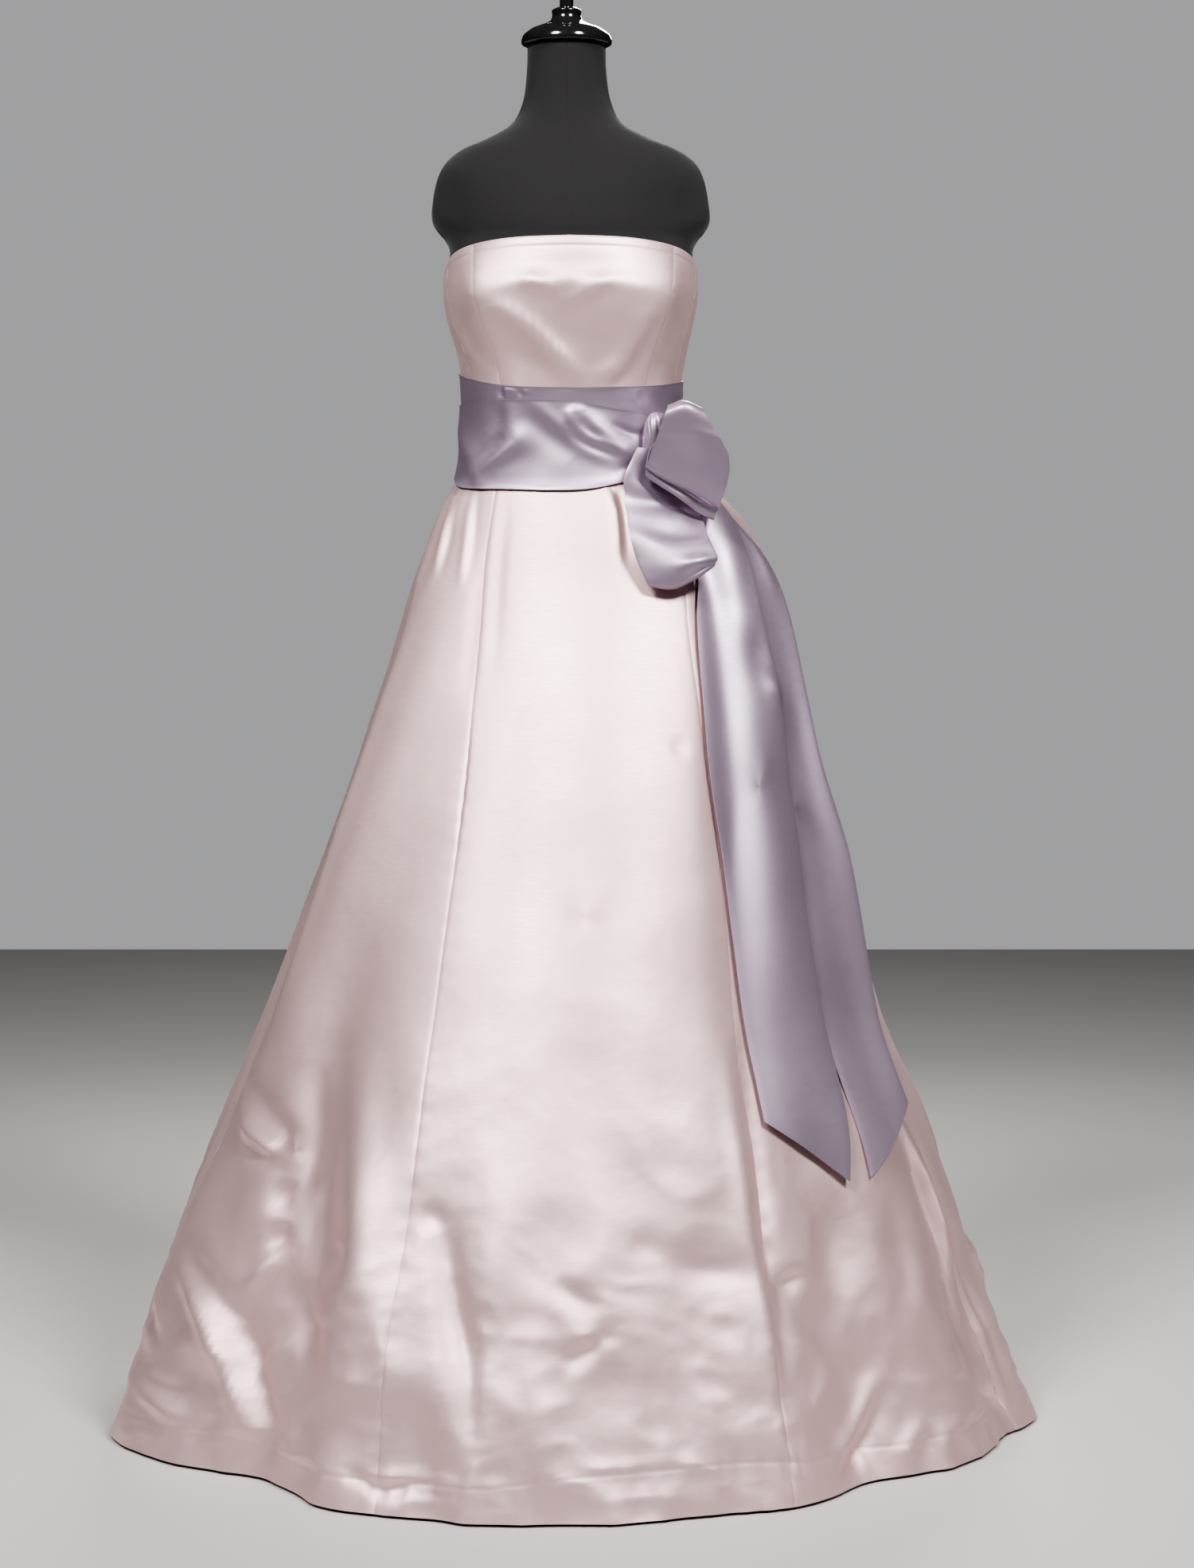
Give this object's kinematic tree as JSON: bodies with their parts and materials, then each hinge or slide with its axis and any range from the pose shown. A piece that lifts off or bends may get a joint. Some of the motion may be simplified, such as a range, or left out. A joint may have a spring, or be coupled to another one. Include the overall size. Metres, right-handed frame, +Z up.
{
  "type": "wedding dress on a dress form",
  "caption": "Strapless A-line satin wedding dress with a wrapped sash, bow and long tails, on a limbless dress form with a round foot.",
  "frame": {"origin": "centre of the underside of the form's round foot, on the floor", "axes": "+Z up through the form's pole, -Y out of the front of the gown, +X towards the wearer's left"},
  "size_m": [1.0585, 1.1721, 1.661],
  "materials": {
    "ivory_satin": "heavy ivory duchess satin with a soft sheen",
    "lavender_satin": "lavender-grey satin ribbon with a bright sheen",
    "black_jersey": "matte black jersey cover",
    "gloss_black": "glossy black lacquer",
    "black_iron": "satin black painted iron"
  },
  "bodies": {
    "root": {"bodice_front": "ivory_satin", "bodice_side_front_left": "ivory_satin", "bodice_side_back_left": "ivory_satin", "bodice_back_left": "ivory_satin", "bodice_back_right": "ivory_satin", "bodice_side_back_right": "ivory_satin", "bodice_side_front_right": "ivory_satin", "skirt_front": "ivory_satin", "skirt_side_front_left": "ivory_satin", "skirt_side_back_left": "ivory_satin", "skirt_back_left": "ivory_satin", "skirt_back_right": "ivory_satin", "skirt_side_back_right": "ivory_satin", "skirt_side_front_right": "ivory_satin", "placket_bodice": "ivory_satin", "placket_skirt": "ivory_satin", "sash_upper_wrap": "lavender_satin", "sash_lower_wrap": "lavender_satin", "sash_knot": "lavender_satin", "bow_loop_upper": "lavender_satin", "bow_loop_lower": "lavender_satin", "sash_tail_front": "lavender_satin", "sash_tail_back": "lavender_satin", "form_torso": "black_jersey", "form_neck_cap": "gloss_black", "form_finial": "gloss_black", "form_pole": "black_iron", "form_base": "black_iron"}
  },
  "joints": []
}
